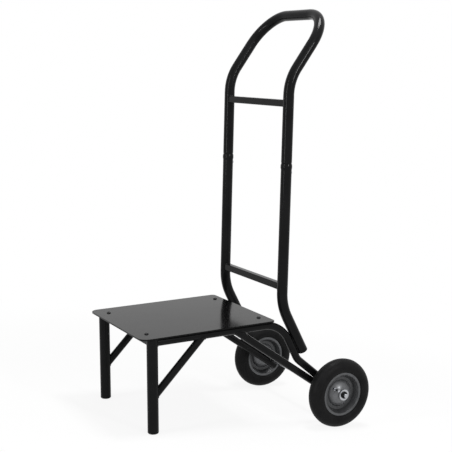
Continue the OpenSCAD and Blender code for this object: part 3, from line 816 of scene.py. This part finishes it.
class TROLLEY_OT_stage(bpy.types.Operator):
    """Set up the floor, background, lamps and camera"""

    bl_idname = "trolley.stage"
    bl_label = "Set Stage"

    def execute(self, context):
        stage = context.scene.trolley_stage
        self.add_floor(stage)
        self.light_room(context.scene, stage)
        self.add_lamps(stage)
        context.scene.camera = self.add_camera(stage)
        context.scene.view_settings.view_transform = "Standard"
        return {"FINISHED"}

    @staticmethod
    def seen_directly(nodes, links):
        """One for rays that show the background: from the camera, in reflections and through glass."""
        path = nodes.new("ShaderNodeLightPath")
        total = path.outputs["Is Camera Ray"]
        for name in ("Is Glossy Ray", "Is Transmission Ray"):
            add = nodes.new("ShaderNodeMath")
            add.operation = "ADD"
            add.use_clamp = True
            links.new(total, add.inputs[0])
            links.new(path.outputs[name], add.inputs[1])
            total = add.outputs["Value"]
        return total

    def add_floor(self, stage):
        material = bpy.data.materials.new("studio_floor")
        material.use_nodes = True
        nodes, links = material.node_tree.nodes, material.node_tree.links
        paint = nodes["Principled BSDF"]
        paint.inputs["Base Color"].default_value = (*stage.floor_colour, 1.0)
        paint.inputs["Roughness"].default_value = FLOOR_ROUGHNESS
        glow = nodes.new("ShaderNodeEmission")
        distance = nodes.new("ShaderNodeVectorMath")
        distance.operation = "LENGTH"
        links.new(nodes.new("ShaderNodeTexCoord").outputs["Object"], distance.inputs[0])
        fade = nodes.new("ShaderNodeMapRange")
        fade.interpolation_type = "SMOOTHSTEP"
        fade.inputs["From Min"].default_value = stage.shadow_reach
        fade.inputs["From Max"].default_value = stage.white_reach
        fade.inputs["To Min"].default_value = stage.floor_glow
        links.new(distance.outputs["Value"], fade.inputs["Value"])
        share = nodes.new("ShaderNodeMath")
        share.operation = "MULTIPLY"
        links.new(self.seen_directly(nodes, links), share.inputs[0])
        links.new(fade.outputs["Result"], share.inputs[1])
        mix = nodes.new("ShaderNodeMixShader")
        links.new(share.outputs["Value"], mix.inputs["Fac"])
        links.new(paint.outputs["BSDF"], mix.inputs[1])
        links.new(glow.outputs["Emission"], mix.inputs[2])
        links.new(mix.outputs["Shader"], nodes["Material Output"].inputs["Surface"])
        bm = bmesh.new()
        bmesh.ops.create_grid(bm, x_segments=2, y_segments=2, size=stage.floor_size / 2)
        mesh = bpy.data.meshes.new("floor")
        bm.to_mesh(mesh)
        bm.free()
        floor = bpy.data.objects.new("floor", mesh)
        bpy.context.scene.collection.objects.link(floor)
        wear([floor], material)

    def light_room(self, scene, stage):
        world = bpy.data.worlds.new("studio")
        world.use_nodes = True
        nodes, links = world.node_tree.nodes, world.node_tree.links
        strength = nodes.new("ShaderNodeMapRange")
        strength.inputs["To Min"].default_value = stage.room_light
        strength.inputs["To Max"].default_value = 1.0
        links.new(self.seen_directly(nodes, links), strength.inputs["Value"])
        links.new(strength.outputs["Result"], nodes["Background"].inputs["Strength"])
        nodes["Background"].inputs["Color"].default_value = (1.0, 1.0, 1.0, 1.0)
        scene.world = world

    @staticmethod
    def add_lamp(name, place, aim, power, width, height):
        lamp = bpy.data.lights.new(name, "AREA")
        lamp.shape = "RECTANGLE"
        lamp.size, lamp.size_y = width, height
        lamp.energy = power
        holder = bpy.data.objects.new(name, lamp)
        turn = (aim - place).to_track_quat("-Z", "Y").to_matrix().to_4x4()
        holder.matrix_world = Matrix.Translation(place) @ turn
        bpy.context.scene.collection.objects.link(holder)

    def add_lamps(self, stage):
        powers = {"strip_lamp": stage.strip_power, "side_lamp": stage.side_power,
                  "top_lamp": stage.top_power, "key_lamp": stage.key_power}
        for name, (place, aim, width, height) in LAMPS.items():
            self.add_lamp(name, Vector(place), Vector(aim), powers[name], width, height)

    @staticmethod
    def add_camera(stage):
        data = bpy.data.cameras.new("photo_camera")
        data.sensor_width = SENSOR_WIDTH
        data.lens = stage.view_lens
        camera = bpy.data.objects.new("photo_camera", data)
        heading = (Matrix.Rotation(stage.view_azimuth, 4, "Z")
                   @ Matrix.Rotation(math.pi / 2 - stage.view_pitch, 4, "X"))
        camera.matrix_world = chassis_matrix() @ Matrix.Translation(stage.view_place) @ heading
        bpy.context.scene.collection.objects.link(camera)
        return camera


class TROLLEY_PT_sidebar(bpy.types.Panel):
    """Lists the trolley's finishing steps"""

    bl_idname = "TROLLEY_PT_sidebar"
    bl_label = "Chair Trolley"
    bl_space_type = "VIEW_3D"
    bl_region_type = "UI"
    bl_category = "Chair Trolley"

    def draw(self, context):
        for operator in OPERATORS:
            self.layout.operator(operator.bl_idname)
        for group in (context.scene.trolley_paint, context.scene.trolley_shape, context.scene.trolley_stage):
            box = self.layout.box()
            for name in group.__annotations__:
                box.prop(group, name)


OPERATORS = (
    TROLLEY_OT_tubes, TROLLEY_OT_deck, TROLLEY_OT_screws, TROLLEY_OT_welds, TROLLEY_OT_plugs,
    TROLLEY_OT_tyres, TROLLEY_OT_rims, TROLLEY_OT_fittings, TROLLEY_OT_stage,
)
CLASSES = (TrolleyPaint, TrolleyShape, TrolleyStage, *OPERATORS, TROLLEY_PT_sidebar)


def register():
    for cls in CLASSES:
        bpy.utils.register_class(cls)
    bpy.types.Scene.trolley_paint = PointerProperty(type=TrolleyPaint)
    bpy.types.Scene.trolley_shape = PointerProperty(type=TrolleyShape)
    bpy.types.Scene.trolley_stage = PointerProperty(type=TrolleyStage)


def unregister():
    del bpy.types.Scene.trolley_paint
    del bpy.types.Scene.trolley_shape
    del bpy.types.Scene.trolley_stage
    for cls in reversed(CLASSES):
        bpy.utils.unregister_class(cls)


def main():
    register()
    for name in ("tubes", "deck", "screws", "welds", "plugs", "tyres", "rims", "fittings", "stage"):
        getattr(bpy.ops.trolley, name)()


if __name__ == "__main__":
    main()
